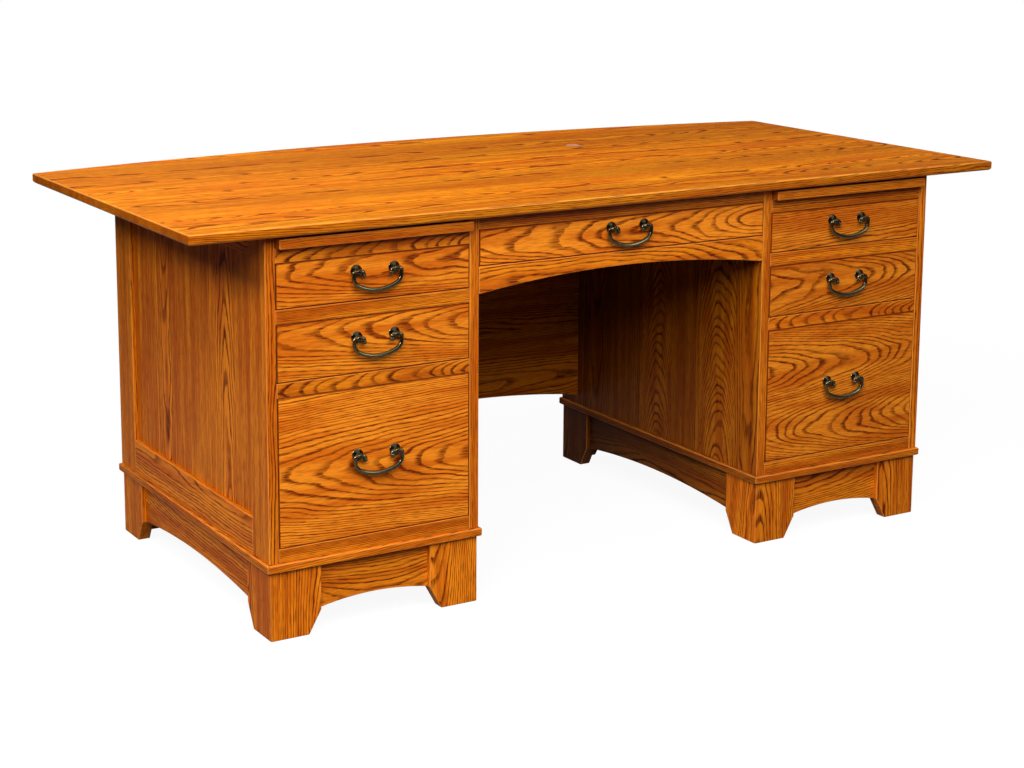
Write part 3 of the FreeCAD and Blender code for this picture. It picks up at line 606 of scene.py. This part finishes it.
def plated_steel(name, bright, dull):
    """Zinc-plated mild steel, roll-formed: a cool grey metal with cloudy spangle and draw lines.

    The lines are drawn 0.8 mm apart, coarser than they are, to show at all."""
    spangle, line_width, line_length = 9 * MM, 0.8 * MM, 120 * MM
    steel, tree = blank_finish(name)
    place = add(tree, "TexCoord", {}).outputs["Object"]
    cloud = add(tree, "TexNoise", {"Vector": place, "Scale": 1 / spangle, "Detail": 3.0})
    line_scale = (1 / line_width, 1 / line_length, 1 / line_width)
    lines = add(tree, "Mapping", {"Vector": place, "Scale": line_scale})
    line = add(tree, "TexNoise", {"Vector": lines.outputs[0], "Scale": 1.0, "Detail": 2.0})
    tint = add(tree, "Mix", {0: cloud.outputs["Fac"], 6: linear(bright), 7: linear(dull)},
               data_type="RGBA")
    rough = add(tree, "MapRange", {"Value": line.outputs["Fac"], "To Min": 0.42, "To Max": 0.6})
    dip = add(tree, "Bump", {"Height": line.outputs["Fac"], "Strength": 0.08, "Distance": 0.1 * MM})
    skin = add(tree, "BsdfPrincipled", {"Base Color": tint.outputs[2], "Metallic": 1.0,
                                        "Roughness": rough.outputs[0], "Normal": dip.outputs[0]})
    add(tree, "OutputMaterial", {"Surface": skin.outputs[0]})
    return steel


def refinish(node, finish):
    """Give a CAD node that shows as it is a better finish."""
    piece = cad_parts[node]
    piece.data.materials.clear()
    piece.data.materials.append(finish)


steel = plated_steel("zinc-plated steel, roll-formed", "#c3c6c9", "#9ea3a8")
slides = [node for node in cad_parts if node.endswith(("slide_channels", "_runners", "_middles"))
          and node != "board_runners"]
for node in slides:
    refinish(node, steel)

# Kneehole rail, apron and modesty panel. Oak boards between the pedestals: a rail under the top, an
# arched apron below the centre drawer, and a wide arched panel near the back.
apron_rise, modesty_rise, arch_columns, apron_arris = 24 * MM, 25 * MM, 80, 1.6 * MM
# The modesty panel's boards are painted darker, as shade.
modesty_cuts, painted_shade_modesty = (0.3, 0.56, 0.78), (-1.4, -0.6)
modesty_figures = [(30, 80, 0.01, 0.3, 5), (95, 90, 0, 0, 2), (20, 90, -0.01, -0.4, 6), (90, 95, 0, 0, 2)]
low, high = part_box("kneehole_rail")
rail = board("knee_rail_board", low, high)
ease(rail, rail_arris)
lay_grain(rail, X, Y, figure="rift")
fit(rail, oak_case, "carcass", "oak_case", "kneehole_rail")
low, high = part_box("kneehole_apron")
apron = arched_board("apron_board", low, high, X, apron_rise, arch_land, arch_columns)
ease(apron, apron_arris)
lay_grain(apron, X, Y, figure=[(16, 80, 0.004, -0.4, 6)])
fit(apron, oak_case, "carcass", "oak_case", "kneehole_apron")
low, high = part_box("modesty_panel")
modesty = arched_board("modesty_boards", low, high, X, modesty_rise, arch_land, arch_columns)
cuts = glue_up(modesty, Z, shares_of(low.z, high.z, modesty_cuts))
ease(modesty, apron_arris)
lay_grain(modesty, X, Y, cuts, modesty_figures, painted_shade_modesty)
fit(modesty, oak_case, "carcass", "oak_case", "modesty_panel")

# Drawer boxes. Behind each front is a box of planed maple: two sides, an inner front and a back,
# glued at the corners and grooved for a thin bottom panel.
rows = [f"{hand}_{row}" for hand in ("left", "right") for row in ("top", "middle", "file")] + ["centre"]
box_side, bottom_thick, bottom_raise, bottom_groove = 12.7 * MM, 6 * MM, 9 * MM, 6 * MM
box_arris, bottom_arris = 1 * MM, 0.4 * MM
for row in rows:
    low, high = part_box(f"{row}_drawer_box")
    sides = []
    for x in (low.x, high.x - box_side):
        side = board(f"{row} box side {len(sides)}", (x, low.y, low.z), (x + box_side, high.y, high.z))
        ease(side, box_arris)
        lay_grain(side, Y, X)
        sides.append(side)
    for y in (low.y, high.y - box_side):
        end = board(f"{row} box end {len(sides)}", (low.x + box_side, y, low.z),
                    (high.x - box_side, y + box_side, high.z))
        ease(end, box_arris)
        lay_grain(end, X, Y)
        sides.append(end)
    inset = box_side - bottom_groove
    bottom = board(f"{row} box bottom", (low.x + inset, low.y + inset, low.z + bottom_raise),
                   (high.x - inset, high.y - inset, low.z + bottom_raise + bottom_thick))
    ease(bottom, bottom_arris)
    lay_grain(bottom, Y, Z)
    sides.append(bottom)
    fit(join(f"{row}_box_boards", sides), maple, f"{row}_drawer", "maple", f"{row}_drawer_box")

# Drawer fronts. Flush oak boards with bold crown figure, screwed on from inside the box. Each is one
# wide board, but for the right file drawer's, which is two boards glued edge to edge.
oak_front = stained_oak("stained oak fronts, satin lacquer", "#f89020", "#da6c10", "#742600", "#f09a44",
                        1.2)
front_arris, front_joint = 1.2 * MM, 0.52
# Each front's shade is fixed rather than drawn: partly its board's own tone, partly a painted fall-off of
# the light, which leaves the right pedestal's fronts darker.
front_painted_shades_and_figures = {
    "left_top": (0.5, [(-22, 90, -0.02, 0.6, 6)]),
    "left_middle": (0.5, [(-22, 85, 0.02, -0.5, -7)]),
    "left_file": (0.9, [(10, 115, 0.015, 0.3, 9)]),
    "right_top": (0.4, [(66, 88, 0.01, 1.2, 5)]),
    "right_middle": (0.2, [(-12, 90, -0.02, -1.3, 8)]),
    "right_file": (0.4, [(8, 80, 0.01, 0.9, 11), (12, 85, -0.02, -1.1, 10)]),
    "centre": (0.9, [(-4, 70, 0, 0.45, 12)]),
}
for row in rows:
    low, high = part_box(f"{row}_drawer_front")
    shade, figures = front_painted_shades_and_figures[row]
    front = board(f"{row}_front_board", low, high)
    cuts = glue_up(front, Z, shares_of(low.z, high.z, (front_joint,) * (len(figures) - 1)))
    # The fronts' edges are painted dark: painted shade in the gaps between them.
    ease(front, front_arris, wear_and_painted_light=-1.0)
    lay_grain(front, X, Y, cuts, figures, tones=(shade, shade))
    fit(front, oak_front, f"{row}_drawer", "oak_front", f"{row}_drawer_front")

# Bail pulls. Cast brass, chemically darkened to antique bronze and rubbed back on the high spots.
# A bent rod swings in two turned posts, and its curled ends keep it there.


def antique_bronze(name, dark, olive, rubbed):
    """Darkened brass: a near-black skin, mottled olive, worn bright on what hands touch."""
    mottle = 3 * MM
    bronze, tree = blank_finish(name)
    place = add(tree, "TexCoord", {}).outputs["Object"]
    cloud = add(tree, "TexNoise", {"Vector": place, "Scale": 1 / mottle, "Detail": 4.0})
    mottled = add(tree, "Mix", {0: cloud.outputs["Fac"], 6: linear(dark), 7: linear(olive)},
                  data_type="RGBA")
    high_spot = add(tree, "NewGeometry", {}).outputs["Pointiness"]
    worn = add(tree, "MapRange", {"Value": high_spot, "From Min": 0.52, "From Max": 0.62, "To Max": 0.9})
    tint = add(tree, "Mix", {0: worn.outputs[0], 6: mottled.outputs[2], 7: linear(rubbed)},
               data_type="RGBA")
    rough = add(tree, "MapRange", {"Value": cloud.outputs["Fac"], "To Min": 0.14, "To Max": 0.3})
    dip = add(tree, "Bump", {"Height": cloud.outputs["Fac"], "Strength": 0.1, "Distance": 0.3 * MM})
    skin = add(tree, "BsdfPrincipled", {"Base Color": tint.outputs[2], "Metallic": 1.0,
                                        "Roughness": rough.outputs[0], "Normal": dip.outputs[0]})
    add(tree, "OutputMaterial", {"Surface": skin.outputs[0]})
    return bronze


bronze = antique_bronze("antique bronze on brass, rubbed", "#3c3a30", "#68634a", "#dcd09c")
post_half, post_reach, bail_half, bail_drop = 38.1 * MM, 11 * MM, 48.2 * MM, 35.5 * MM
elbow_radius, corner_radius, sweep_radius = 4 * MM, 18 * MM, 85 * MM
curl_drop, curl_ball, rod_thin, rod_thick = 3.5 * MM, 4.4 * MM, 3.5 * MM, 4.2 * MM


def turned(name, stations, sides=40):
    """Turn a shape about the Y axis: stations are pairs of radius and distance out towards -Y."""
    bpy.ops.object.select_all(action="DESELECT")
    bpy.ops.mesh.primitive_circle_add(vertices=sides, radius=stations[0][0], fill_type="NGON",
                                      rotation=(math.pi / 2, 0, 0), location=(0, -stations[0][1], 0))
    piece = bpy.context.object
    piece.name = piece.data.name = name
    bpy.ops.object.transform_apply(location=True, rotation=True, scale=True)
    bpy.ops.object.mode_set(mode="EDIT")
    bpy.ops.mesh.select_all(action="SELECT")
    for (before, start), (after, end) in zip(stations, stations[1:]):
        bpy.ops.mesh.extrude_region_move(TRANSFORM_OT_translate={"value": (0, start - end, 0)})
        scale = after / before
        bpy.ops.transform.resize(value=(scale, 1, scale), center_override=(0, -end, 0))
    bpy.ops.mesh.select_all(action="SELECT")
    bpy.ops.mesh.normals_make_consistent(inside=False)
    bpy.ops.object.mode_set(mode="OBJECT")
    bpy.ops.object.shade_smooth_by_angle(angle=math.radians(50))
    return piece


rosette = [(11.5, 0), (11.5, 0.8), (11.0, 1.5), (10.2, 1.8), (9.6, 2.0), (9.0, 2.6), (7.4, 3.6),
           (5.6, 4.6), (4.6, 5.2), (4.3, 6.0)]
head_radius, head_out = 5.6, 11
head = [(head_radius * math.cos(turn), head_out + head_radius * math.sin(turn))
        for turn in [math.radians(angle) for angle in range(-42, 88, 10)]]
post = turned("pull post", [(radius * MM, out * MM) for radius, out in rosette + head])


def arc(x, z, radius, start, end, steps):
    """Points along an arc about a centre, past its start. Angles turn from +X to +Z."""
    turns = [start + (end - start) * step / steps for step in range(1, steps + 1)]
    return [(x + radius * math.cos(turn), z + radius * math.sin(turn)) for turn in turns]


# Half of the bail, from the end of its curl over the post to the middle of its sweep, then mirrored.
corner_x = bail_half - corner_radius
reach = sweep_radius - corner_radius
corner_z = sweep_radius - bail_drop - math.sqrt(reach * reach - corner_x * corner_x)
lean = math.asin(corner_x / reach)
curl_x = 2 * post_half - bail_half
rod_end = bail_half - elbow_radius
quarter, elbow_steps, bend_steps = math.pi / 2, 6, 12
bail_path = [(curl_x, -elbow_radius - curl_drop), (curl_x, -elbow_radius - curl_drop / 2)]
bail_path += [(curl_x, -elbow_radius)]
bail_path += arc(2 * post_half - rod_end, -elbow_radius, elbow_radius, 2 * quarter, quarter, elbow_steps)
bail_path += [(rod_end, 0)]
bail_path += arc(rod_end, -elbow_radius, elbow_radius, quarter, 0, elbow_steps)
bail_path += arc(corner_x, corner_z, corner_radius, 0, lean - quarter, bend_steps)
bail_path += arc(0, sweep_radius - bail_drop, sweep_radius, lean - quarter, -quarter, bend_steps)
bail_path += [(-x, z) for x, z in reversed(bail_path[:-1])]
wire = bpy.data.curves.new("bail wire", "CURVE")
wire.dimensions = "3D"
wire.bevel_depth = rod_thin
wire.bevel_resolution = 5
wire.use_fill_caps = True
spline = wire.splines.new("POLY")
spline.points.add(len(bail_path) - 1)
for point, (x, z) in zip(spline.points, bail_path):
    low_share = min(1.0, max(0.0, -z / bail_drop)) if abs(x) < bail_half else 0.0
    point.co = (x, -post_reach, z, 1)
    point.radius = 1 + (rod_thick / rod_thin - 1) * low_share ** 2
bail = bpy.data.objects.new("bail rod", wire)
bpy.context.collection.objects.link(bail)
bpy.ops.object.select_all(action="DESELECT")
bail.select_set(True)
bpy.context.view_layer.objects.active = bail
bpy.ops.object.convert(target="MESH")
bail = bpy.context.object
balls = []
for sign in (-1, 1):
    bpy.ops.object.select_all(action="DESELECT")
    bpy.ops.mesh.primitive_uv_sphere_add(segments=24, ring_count=14, radius=curl_ball,
                                         location=(sign * curl_x, -post_reach, -elbow_radius - curl_drop))
    bpy.ops.object.transform_apply(location=True, rotation=True, scale=True)
    balls.append(bpy.context.object)
bail = join("bail rod", [bail] + balls)
bpy.ops.object.mode_set(mode="EDIT")
bpy.ops.mesh.select_all(action="SELECT")
bpy.ops.mesh.normals_make_consistent(inside=False)
bpy.ops.object.mode_set(mode="OBJECT")
bpy.ops.object.shade_smooth()

pull_rise = 14 * MM
for row in rows:
    low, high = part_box(f"{row}_drawer_front")
    centre = Vector(((low.x + high.x) / 2, low.y, (low.z + high.z) / 2 + pull_rise))
    pair = []
    for sign in (-1, 1):
        place = Matrix.Translation(centre + Vector((sign * post_half, 0, 0)))
        pair.append(copy_of(post, f"{row} post {sign}", place))
    fit(join(f"{row}_posts", pair), bronze, f"{row}_drawer", "bronze", f"{row}_pull_posts")
    fit(copy_of(bail, f"{row}_bail", Matrix.Translation(centre)), bronze, f"{row}_pull_bail", "bronze",
        f"{row}_pull_bail")
for master in (post, bail):
    bpy.data.objects.remove(master)

# Writing boards. A leaf of three oak boards slides out over each pedestal. Its lipped front edge drank
# more stain than the rest, and a stop screwed under its tail keeps it in.


def soak(piece, share, edges_only=False):
    """Let an edge, or a whole strip, drink more stain, as sawn pores do."""
    for face, mark in zip(piece.data.polygons, piece.data.attributes["end_grain"].data):
        if not edges_only or abs(face.normal.z) < 0.2:
            mark.value = max(mark.value, share)


board_nose, stop_width, stop_depth, stop_thick = 45 * MM, 60 * MM, 20 * MM, 12 * MM
leaf_cuts, leaf_arris, nose_arris, stop_arris = (0.34, 0.68), 0.8 * MM, 1.6 * MM, 1 * MM
# The noses are painted paler than any board's own tone: painted light against the shadow under the top's
# overhang. The extra stain makes them redder.
nose_painted_light_tones, nose_soak = (1.2, 1.6), 0.6
for hand in ("left", "right"):
    low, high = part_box(f"{hand}_writing_board")
    leaf_floor = low.z + stop_thick
    leaf = board(f"{hand} leaf", (low.x, low.y + board_nose, leaf_floor), high)
    cuts = glue_up(leaf, X, shares_of(low.x, high.x, leaf_cuts))
    ease(leaf, leaf_arris)
    lay_grain(leaf, Y, Z, cuts)
    nose = board(f"{hand} nose", (low.x, low.y, leaf_floor), (high.x, low.y + board_nose, high.z))
    ease(nose, nose_arris)
    lay_grain(nose, X, Y, figure="rift", tones=nose_painted_light_tones)
    soak(nose, nose_soak)
    middle = (low.x + high.x) / 2
    stop = board(f"{hand} stop", (middle - stop_width / 2, high.y - stop_depth, low.z),
                 (middle + stop_width / 2, high.y, leaf_floor))
    ease(stop, stop_arris)
    lay_grain(stop, X, Y, figure="rift")
    fit(join(f"{hand}_board_leaf", [leaf, nose, stop]), oak_case, f"{hand}_writing_board", "oak_case",
        f"{hand}_writing_board")

# Top. Eight oak boards glued edge to edge, planed flush and sawn to a bowed back edge. The upper
# edge is rounded and the lower one chamfered, and it is screwed down to the cleats.
oak_top = stained_oak("stained oak top, satin lacquer", "#fa9812", "#e47208", "#6a1c00", "#f4a450",
                      1.35, 0.36)
low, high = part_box("desk_top")
back_bow, top_round, top_chamfer, top_columns = 94 * MM, 2.5 * MM, 3.5 * MM, 96
top_cuts = (0.13, 0.25, 0.38, 0.5, 0.63, 0.75, 0.88)
top_edge_soak, rim_wear_and_highlight = 0.55, 0.8
half_width = high.x
bow_radius = (half_width ** 2 + back_bow ** 2) / (2 * back_bow)
top = board("top_boards", low, high)
divide(top, X, top_columns)
for vertex in top.data.vertices:
    if vertex.co.y > 0:
        vertex.co.y = high.y - bow_radius + math.sqrt(bow_radius ** 2 - vertex.co.x ** 2)


def ease_rim(piece, height, offset, steps):
    """Work one rim of a slab, at one height."""
    mesh, near = piece.data, 0.1 * MM
    upright = [polygon for polygon in mesh.polygons if abs(polygon.normal.z) < 0.5]
    sides = {key for polygon in upright for key in polygon.edge_keys}

    def on_rim(edge):
        level = all(abs(mesh.vertices[i].co.z - height) < near for i in edge.vertices)
        return level and tuple(sorted(edge.vertices)) in sides

    pick_edges(piece, on_rim)
    bpy.ops.mesh.bevel(offset=offset, segments=steps, affect="EDGES")
    bpy.ops.object.mode_set(mode="OBJECT")


ease_rim(top, high.z, top_round, steps=3)
ease_rim(top, low.z, top_chamfer, steps=1)
grommet_low, grommet_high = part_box("grommet_liner")
grommet = (grommet_low + grommet_high) / 2
hole_play, sleeve_radius, flange_thick, past = 0.15 * MM, 19 * MM, 4.5 * MM, 1 * MM
flange_radius = grommet_high.x - grommet.x
for radius, bottom in ((sleeve_radius, low.z - past), (flange_radius, high.z - flange_thick)):
    bpy.ops.object.select_all(action="DESELECT")
    depth = high.z + past - bottom
    bpy.ops.mesh.primitive_cylinder_add(vertices=64, radius=radius + hole_play, depth=depth,
                                        location=(grommet.x, grommet.y, bottom + depth / 2))
    bit = bpy.context.object
    drill = top.modifiers.new("drill", "BOOLEAN")
    drill.operation = "DIFFERENCE"
    drill.object = bit
    bpy.context.view_layer.objects.active = top
    bpy.ops.object.modifier_apply(modifier="drill")
    bpy.data.objects.remove(bit)
cuts = glue_up(top, Y, shares_of(low.y, high.y, top_cuts))
lay_grain(top, X, Z, cuts)
soak(top, top_edge_soak, edges_only=True)
# The slanted faces round the rims are paler: partly rubbed, partly a painted highlight.
marks = top.data.attributes.new("arris", "FLOAT", "FACE")
for face, mark in zip(top.data.polygons, marks.data):
    mark.value = rim_wear_and_highlight * (0.2 < abs(face.normal.z) < 0.98)
fit(top, oak_top, "carcass", "oak_top", "desk_top")

# Cable grommet. A flanged sleeve, pushed into the hole in the top, and a slotted cap that turns in it.
# Both are moulded ABS, and they show as the CAD made them.


def moulded_abs(name, tan, brown):
    """Moulded ABS in a wood brown: even, faintly mottled, with a satin texture.

    The texture's grit is drawn 1.2 mm across, coarser than it is, to show at all."""
    grit = 1.2 * MM
    plastic, tree = blank_finish(name)
    place = add(tree, "TexCoord", {}).outputs["Object"]
    speck = add(tree, "TexNoise", {"Vector": place, "Scale": 1 / grit, "Detail": 3.0})
    tint = add(tree, "Mix", {0: speck.outputs["Fac"], 6: linear(tan), 7: linear(brown)}, data_type="RGBA")
    dip = add(tree, "Bump", {"Height": speck.outputs["Fac"], "Strength": 0.15, "Distance": 0.1 * MM})
    skin = add(tree, "BsdfPrincipled", {"Base Color": tint.outputs[2], "Roughness": 0.38,
                                        "Normal": dip.outputs[0], "IOR": 1.53})
    add(tree, "OutputMaterial", {"Surface": skin.outputs[0]})
    return plastic


dark_plastic = moulded_abs("ABS, moulded, dark oak", "#9a5220", "#864414")
# The cap's pale pink is partly a painted highlight.
pale_plastic_with_painted_highlight = moulded_abs("ABS, moulded, pale oak", "#dc9c74", "#c88660")
refinish("grommet_liner", dark_plastic)
refinish("grommet_cap", pale_plastic_with_painted_highlight)

# Floor, light and camera. A floor of pale paper that fades into the white behind it, large soft lamps,
# and a camera at the photograph's viewpoint, fitted to the desk's straight edges.
floor_size, fade_start, fade_end = 8, 1.6, 3.6
floor_white, mirrored_share = 0.93, 0.16
bpy.ops.object.select_all(action="DESELECT")
bpy.ops.mesh.primitive_plane_add(size=floor_size)
floor = bpy.context.object
floor.name = "studio_floor"
paper, tree = blank_finish("white paper floor")
matt = add(tree, "BsdfDiffuse", {"Color": linear("#585858")})
seen = add(tree, "LightPath", {})
mirrored = add(tree, "Math", {0: seen.outputs["Is Glossy Ray"], 1: seen.outputs["Is Transmission Ray"]},
               operation="MAXIMUM")
dimmed = add(tree, "Math", {0: mirrored.outputs[0], 1: mirrored_share}, operation="MULTIPLY")
shown = add(tree, "Math", {0: seen.outputs["Is Camera Ray"], 1: dimmed.outputs[0]}, operation="MAXIMUM")
lift = add(tree, "Math", {0: shown.outputs[0], 1: floor_white}, operation="MULTIPLY")
glow = add(tree, "Emission", {"Color": (1, 1, 1, 1), "Strength": lift.outputs[0]})
both = add(tree, "AddShader", {0: matt.outputs[0], 1: glow.outputs[0]})
spot = add(tree, "TexCoord", {}).outputs["Object"]
away = add(tree, "VectorMath", {0: spot}, operation="LENGTH")
edge = add(tree, "MapRange", {"Value": away.outputs["Value"], "From Min": fade_start, "From Max": fade_end},
           interpolation_type="SMOOTHSTEP")
clear = add(tree, "BsdfTransparent", {})
faded = add(tree, "MixShader", {0: edge.outputs[0], 1: both.outputs[0], 2: clear.outputs[0]})
add(tree, "OutputMaterial", {"Surface": faded.outputs[0]})
floor.data.materials.append(paper)

# The camera sees white all round. What gloss mirrors is a white ceiling over dark walls, because white
# walls would haze over the satin wood.
ceiling_foot, ceiling_head, wall_level = 0.45, 0.75, 0.02
sky = bpy.data.worlds.new("studio")
bpy.context.scene.world = sky
sky.use_nodes = True
tree = sky.node_tree
tree.nodes.clear()
seen = add(tree, "LightPath", {})
way = add(tree, "TexCoord", {}).outputs["Generated"]
height = add(tree, "SeparateXYZ", {"Vector": way}).outputs["Z"]
ceiling = add(tree, "MapRange", {"Value": height, "From Min": ceiling_foot, "From Max": ceiling_head,
                                 "To Min": wall_level, "To Max": 1.0}, interpolation_type="SMOOTHSTEP")
mirrored = add(tree, "Math", {0: seen.outputs["Is Glossy Ray"], 1: seen.outputs["Is Transmission Ray"]},
               operation="MAXIMUM")
reflected = add(tree, "Math", {0: mirrored.outputs[0], 1: ceiling.outputs[0]}, operation="MULTIPLY")
shown = add(tree, "Math", {0: seen.outputs["Is Camera Ray"], 1: reflected.outputs[0]}, operation="MAXIMUM")
level = add(tree, "Math", {0: shown.outputs[0], 1: wall_level}, operation="MAXIMUM")
air = add(tree, "Background", {"Color": (1, 1, 1, 1), "Strength": level.outputs[0]})
add(tree, "OutputWorld", {"Surface": air.outputs[0]})


def lamp(name, place, target, width, height, watts, glossy=True, diffuse=True):
    """A softbox aimed at a point. Without glossy it shows in no reflection, without diffuse only there."""
    panel = bpy.data.lights.new(name, "AREA")
    panel.shape = "RECTANGLE"
    panel.size, panel.size_y, panel.energy = width, height, watts
    stand = bpy.data.objects.new(name, panel)
    stand.location = place
    stand.rotation_euler = (Vector(target) - Vector(place)).to_track_quat("-Z", "Y").to_euler()
    stand.visible_glossy = glossy
    stand.visible_diffuse = diffuse
    bpy.context.collection.objects.link(stand)


lamp("key softbox", (-1.5, -3.1, 3.1), (-0.4, -0.3, 0.4), 3.6, 2.6, 216, glossy=False)
lamp("left softbox", (-3.6, -1.2, 2.8), (-0.76, 0, 0.3), 0.9, 0.9, 74)
lamp("overhead softbox", (-1.4, 0, 2.6), (-0.8, 0, 0.7), 1.4, 1.2, 20, glossy=False)
lamp("metal softbox", (1.7, -3.4, 1.5), (-0.2, -0.45, 0.5), 0.6, 1.4, 18, diffuse=False)
lamp("back softbox", (0.4, 3.6, 2.6), (0, 0, 0.5), 2.0, 1.4, 52, glossy=False)
lamp("right softbox", (4.0, 1.4, 1.8), (0.7, 0, 0.4), 1.6, 1.4, 26, glossy=False)

camera = bpy.data.cameras.new("photograph")
viewpoint = bpy.data.objects.new("photograph", camera)
bpy.context.collection.objects.link(viewpoint)
viewpoint.location = (-2.18476, -3.59099, 1.36194)
viewpoint.rotation_euler = [math.radians(turn) for turn in (79.5907, -0.1731, -30.4156)]
camera.sensor_width = 36
camera.lens = 71.248
camera.shift_x, camera.shift_y = 0.02939, -0.13574
camera.clip_end = 100
bpy.context.scene.camera = viewpoint
bpy.context.scene.view_settings.view_transform = "Standard"
